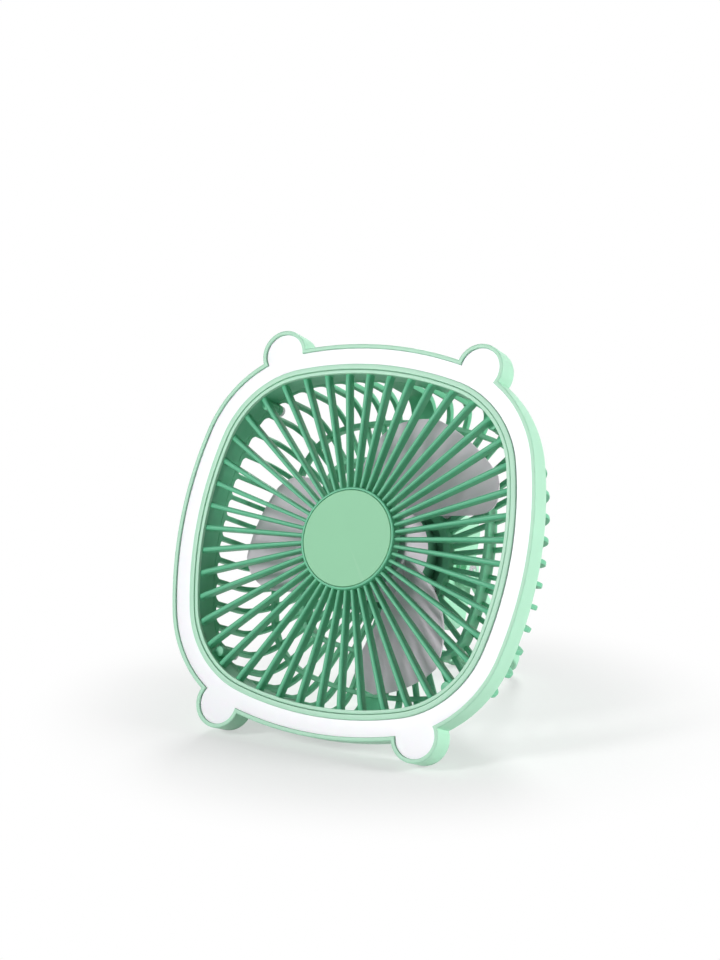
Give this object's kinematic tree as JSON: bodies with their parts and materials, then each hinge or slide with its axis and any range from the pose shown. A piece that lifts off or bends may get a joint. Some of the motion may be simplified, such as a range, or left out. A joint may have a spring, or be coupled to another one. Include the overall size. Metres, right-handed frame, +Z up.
{
  "type": "portable camping fan",
  "caption": "Rounded square desk and tent fan with a ring light round its radial grille, a ribbed rear cage, a battery box with two buttons and a fold-out bail that hangs or props it.",
  "frame": {"origin": "on the floor at the centre of the standing fan's bounding box, with the bail swung down as its prop", "axes": "+Z up, the fan blows toward -Y and leans back 21.5 degrees, +X to the right as seen from the front"},
  "size_m": [0.188, 0.1692, 0.1864],
  "materials": {
    "shell_green": "soft satin mint moulded plastic",
    "grille_green": "satin mint moulded plastic",
    "cap_green": "fine satin mint plastic",
    "diffuser_white": "milky white light diffuser",
    "blade_grey": "light warm grey glossy plastic",
    "bracket_green": "darker green moulded plastic",
    "board_white": "white lacquered circuit board",
    "board_green": "green lacquered circuit board",
    "chip_yellow": "pale phosphor lamps",
    "steel": "bright plated steel",
    "dark_steel": "zinc plated steel sheet",
    "magnet": "dark sintered magnet",
    "copper": "enamelled copper winding",
    "core": "stacked steel sheet",
    "switch_black": "black switch case",
    "cell_silver": "silver foil pouch",
    "tape_white": "white foam tape",
    "button_green": "satin mint plastic",
    "washer_white": "natural slippery plastic"
  },
  "bodies": {
    "housing": {"front_frame": "shell_green", "light_diffuser": "diffuser_white", "light_strip": "board_white", "light_chips": "chip_yellow", "front_grille": "grille_green", "grille_centre_cap": "cap_green", "rear_cage": "shell_green", "cage_screws": "steel", "box_screws": "steel", "motor_bracket": "bracket_green", "motor_screws": "steel", "motor_bearings": "steel", "motor_driver": "board_green", "stator_core": "core", "stator_coils": "copper", "control_box": "shell_green", "control_board": "board_green", "usb_socket": "steel", "tact_switches": "switch_black", "battery_pack": "cell_silver", "battery_tape": "tape_white", "handle_washers": "washer_white", "handle_pins": "steel", "pin_nuts": "steel"},
    "rotor": {"fan_blades": "blade_grey", "rotor_can": "dark_steel", "magnet_ring": "magnet", "motor_shaft": "steel", "shaft_clip": "steel"},
    "bail": {"carry_handle": "shell_green"},
    "fan_push": {"fan_button": "button_green"},
    "light_push": {"light_button": "button_green"}
  },
  "joints": [
    {"name": "rotor_spin", "type": "hinge", "parent": "housing", "child": "rotor", "pos_m": [0, -0.01998, 0.08415], "axis": [0, -0.9304, 0.3665], "continuous": true},
    {"name": "handle_swing", "type": "hinge", "parent": "housing", "child": "bail", "pos_m": [0, 0.02002, 0.06839], "axis": [1, 0, 0], "range_deg": [-64.77, 115.23]},
    {"name": "fan_button_press", "type": "slide", "parent": "housing", "child": "fan_push", "axis": [0, -0.3665, -0.9304], "range_m": [0, 0.0008], "stiffness_N_per_m": 2500, "springref_m": -0.0002},
    {"name": "light_button_press", "type": "slide", "parent": "housing", "child": "light_push", "axis": [0, -0.3665, -0.9304], "range_m": [0, 0.0008], "stiffness_N_per_m": 2500, "springref_m": -0.0002}
  ]
}
